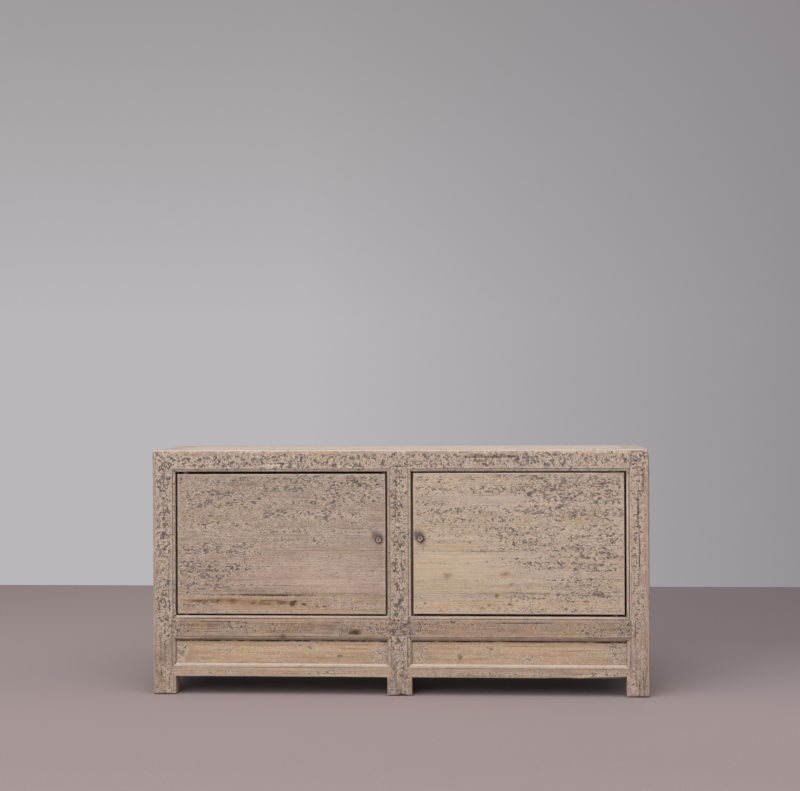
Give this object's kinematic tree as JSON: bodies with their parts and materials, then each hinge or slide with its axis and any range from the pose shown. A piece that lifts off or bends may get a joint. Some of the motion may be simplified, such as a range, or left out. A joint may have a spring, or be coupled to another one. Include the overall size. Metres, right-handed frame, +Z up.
{
  "type": "low timber cabinet",
  "caption": "Low floor cabinet in bleached solid timber: mitred frame and panels, board doors on wooden pivots, turned knobs, short legs with an apron below.",
  "frame": {"origin": "on the floor under the middle of the whole object's box, knobs included", "axes": "+X to the right as one faces the doors, +Y from the doors to the back, +Z up"},
  "size_m": [1.3, 0.4104, 0.643],
  "materials": {
    "frame_timber": "stripped and bleached, remains of dark lacquer in the pores, matt",
    "door_timber": "stripped and bleached boards with dark specks, matt",
    "top_timber": "worn pale, matt",
    "panel_timber": "stripped, slightly yellower, matt",
    "inside_timber": "raw, unfinished, aged",
    "knob_timber": "turned, handled, grey in the hollows"
  },
  "bodies": {
    "frame": {"back_board_left_lower": "panel_timber", "back_board_left_upper": "panel_timber", "back_board_right_lower": "panel_timber", "back_board_right_upper": "panel_timber", "back_stile": "frame_timber", "centre_leg": "frame_timber", "centre_stile": "frame_timber", "door_stop": "inside_timber", "floor_bearer_centre": "inside_timber", "floor_bearer_left": "inside_timber", "floor_bearer_right": "inside_timber", "floor_board_back": "inside_timber", "floor_board_front": "inside_timber", "floor_board_middle": "inside_timber", "leg_back_left": "frame_timber", "leg_back_right": "frame_timber", "leg_front_left": "frame_timber", "leg_front_right": "frame_timber", "lower_rail_back": "frame_timber", "lower_rail_front_left": "frame_timber", "lower_rail_front_right": "frame_timber", "lower_rail_left": "frame_timber", "lower_rail_right": "frame_timber", "middle_rail_back": "frame_timber", "middle_rail_front": "frame_timber", "middle_rail_left": "frame_timber", "middle_rail_right": "frame_timber", "side_board_left_back": "panel_timber", "side_board_left_front": "panel_timber", "side_board_right_back": "panel_timber", "side_board_right_front": "panel_timber", "skirt_panel_back": "panel_timber", "skirt_panel_front_left": "panel_timber", "skirt_panel_front_right": "panel_timber", "skirt_panel_left": "panel_timber", "skirt_panel_right": "panel_timber", "top_batten_left": "inside_timber", "top_batten_right": "inside_timber", "top_board_back": "top_timber", "top_board_front": "top_timber", "top_board_middle": "top_timber", "top_rail_back": "frame_timber", "top_rail_front": "frame_timber", "top_rail_left": "frame_timber", "top_rail_right": "frame_timber"},
    "left_door": {"door_left_batten": "inside_timber", "door_left_board_bottom": "door_timber", "door_left_board_middle": "door_timber", "door_left_board_top": "door_timber", "door_left_knob": "knob_timber", "door_left_post": "inside_timber"},
    "right_door": {"door_right_batten": "inside_timber", "door_right_board_bottom": "door_timber", "door_right_board_middle": "door_timber", "door_right_board_top": "door_timber", "door_right_knob": "knob_timber", "door_right_post": "inside_timber"}
  },
  "joints": [
    {"name": "left_door_swing", "type": "hinge", "parent": "frame", "child": "left_door", "pos_m": [-0.563, -0.17525, 0.3965], "axis": [0, 0, -1], "range_deg": [0, 110]},
    {"name": "right_door_swing", "type": "hinge", "parent": "frame", "child": "right_door", "pos_m": [0.563, -0.17525, 0.3965], "axis": [0, 0, 1], "range_deg": [0, 110]}
  ]
}
